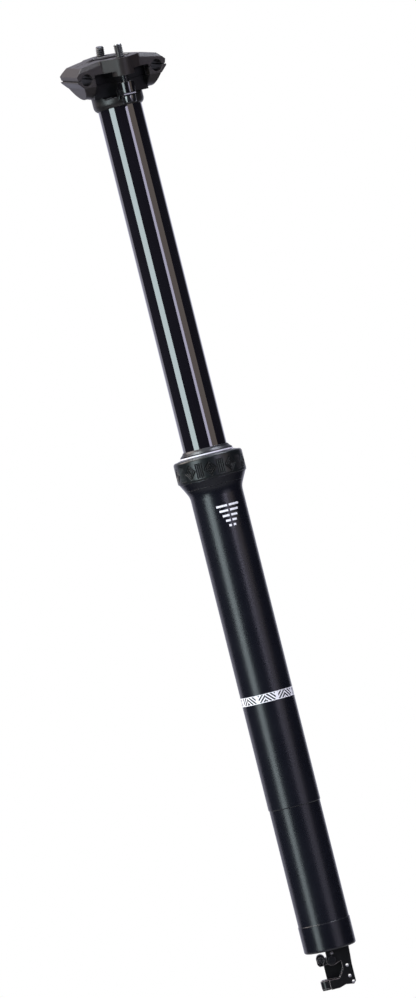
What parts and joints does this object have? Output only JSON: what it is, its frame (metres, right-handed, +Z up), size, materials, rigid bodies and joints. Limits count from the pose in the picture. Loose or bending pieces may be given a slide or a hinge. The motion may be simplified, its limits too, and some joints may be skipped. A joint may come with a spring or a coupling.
{
  "type": "dropper seatpost",
  "caption": "Telescoping bicycle seatpost with a sprung sliding stanchion, a tilting rail clamp on pivoting bolts, and a cable lever at its foot that lifts the valve pin.",
  "frame": {"origin": "on the post's axis, at the top of the straight seat tube portion where the flare starts", "axes": "+Z up the post towards the saddle, -Y towards the front of the bicycle, rails along Y, +X across the post"},
  "size_m": [0.056, 0.0561, 0.5752],
  "materials": {
    "satin_black": "satin black anodised aluminium tube",
    "collar_black": "satin black anodised turned aluminium",
    "grip_rubber": "matte moulded rubber with a relief pattern",
    "bright_ring": "bright turned aluminium",
    "seal_rubber": "smooth black seal rubber",
    "foam": "oiled open foam",
    "bushing_plastic": "dark grey bearing plastic",
    "rod_steel": "ground and plated steel rod",
    "fastener_black": "black oxide steel",
    "bare_aluminium": "plain turned aluminium",
    "actuator_black": "fine bead-blasted black anodised aluminium",
    "pin_steel": "plain turned steel",
    "stanchion_black": "polished hard black anodised aluminium",
    "crown_black": "polished black anodised forging",
    "key_brass": "plain brass keys",
    "clamp_grey": "matte dark grey anodised forging",
    "barrel_grey": "plain turned steel barrel"
  },
  "bodies": {
    "outer_body": {"outer_tube": "satin_black", "seal_collar": "collar_black", "grip_sleeve": "grip_rubber", "accent_ring": "bright_ring", "wiper_seal": "seal_rubber", "foam_ring": "foam", "collar_seal": "seal_rubber", "upper_bushing": "bushing_plastic", "end_cap": "collar_black", "cap_seal": "seal_rubber", "damper_rod": "rod_steel", "rod_nut": "fastener_black", "bottom_bumper": "seal_rubber", "damper_piston": "bare_aluminium", "piston_ring": "bushing_plastic", "actuator_bracket": "actuator_black", "bracket_lock_ring": "collar_black", "housing_stop": "actuator_black", "lever_pin": "pin_steel", "lever_clip": "pin_steel"},
    "stanchion_body": {"stanchion_tube": "stanchion_black", "head_crown": "crown_black", "lower_bushing": "bushing_plastic", "guide_keys": "key_brass", "cylinder_tube": "bare_aluminium", "rod_gland": "bare_aluminium", "rod_seal": "seal_rubber", "top_plug": "bare_aluminium", "retaining_clip": "pin_steel"},
    "floating_piston_body": {"floating_piston": "bare_aluminium", "floating_ring": "bushing_plastic"},
    "saddle_clamp_body": {"upper_clamp": "clamp_grey", "lower_cradle": "clamp_grey"},
    "front_bolt_body": {"front_bolt": "fastener_black", "front_washer": "fastener_black"},
    "rear_bolt_body": {"rear_bolt": "fastener_black", "rear_washer": "fastener_black"},
    "front_nut_body": {"front_nut": "fastener_black"},
    "rear_nut_body": {"rear_nut": "fastener_black"},
    "lever_body": {"cable_lever": "actuator_black"},
    "barrel_body": {"cable_barrel": "barrel_grey", "set_screw": "fastener_black"},
    "valve_body": {"valve_tappet": "pin_steel", "valve_pin": "rod_steel", "valve_poppet": "pin_steel"}
  },
  "joints": [
    {"name": "stanchion_slide", "type": "slide", "parent": "outer_body", "child": "stanchion_body", "axis": [0, 0, 1], "range_m": [-0.2, 0], "stiffness_N_per_m": 400, "springref_m": 0.6},
    {"name": "saddle_tilt", "type": "hinge", "parent": "stanchion_body", "child": "saddle_clamp_body", "pos_m": [0, 0, 0.233], "axis": [1, 0, 0], "range_deg": [-7, 5]},
    {"name": "front_bolt_swing", "type": "hinge", "parent": "stanchion_body", "child": "front_bolt_body", "pos_m": [0, -0.0213, 0.241], "axis": [1, 0, 0], "range_deg": [-10.66, 7.62]},
    {"name": "rear_bolt_swing", "type": "hinge", "parent": "stanchion_body", "child": "rear_bolt_body", "pos_m": [0, 0.0202, 0.2446], "axis": [1, 0, 0], "range_deg": [-8.58, 6.13]},
    {"name": "front_nut_turn", "type": "hinge", "parent": "saddle_clamp_body", "child": "front_nut_body", "pos_m": [0, -0.02323, 0.25937], "axis": [1, 0, 0], "range_deg": [-3.66, 2.62]},
    {"name": "rear_nut_turn", "type": "hinge", "parent": "saddle_clamp_body", "child": "rear_nut_body", "pos_m": [0, 0.01281, 0.26572], "axis": [1, 0, 0], "range_deg": [-1.58, 1.13]},
    {"name": "lever_turn", "type": "hinge", "parent": "outer_body", "child": "lever_body", "pos_m": [-0.00076, 0.00025, -0.2824], "axis": [-0.309, -0.9511, 0], "range_deg": [0, 20]},
    {"name": "barrel_turn", "type": "hinge", "parent": "lever_body", "child": "barrel_body", "pos_m": [-0.00694, 0.00226, -0.2818], "axis": [-0.309, -0.9511, 0], "range_deg": [-20, 0]},
    {"name": "valve_pin_slide", "type": "slide", "parent": "outer_body", "child": "valve_body", "axis": [0, 0, 1], "range_m": [0, 0.000917], "stiffness_N_per_m": 100, "springref_m": -0.0005},
    {"name": "floating_piston_slide", "type": "slide", "parent": "stanchion_body", "child": "floating_piston_body", "axis": [0, 0, 1], "range_m": [0, 0.0555]}
  ],
  "couplings": [
    {"joint": "front_bolt_swing", "follows": "saddle_tilt", "ratio": 1.522},
    {"joint": "rear_bolt_swing", "follows": "saddle_tilt", "ratio": 1.225},
    {"joint": "front_nut_turn", "follows": "saddle_tilt", "ratio": 0.522},
    {"joint": "rear_nut_turn", "follows": "saddle_tilt", "ratio": 0.225},
    {"joint": "lever_turn", "follows": "valve_pin_slide", "rad_per_m": 380.5},
    {"joint": "barrel_turn", "follows": "valve_pin_slide", "rad_per_m": -380.5},
    {"joint": "floating_piston_slide", "follows": "stanchion_slide", "ratio": -0.27701}
  ]
}
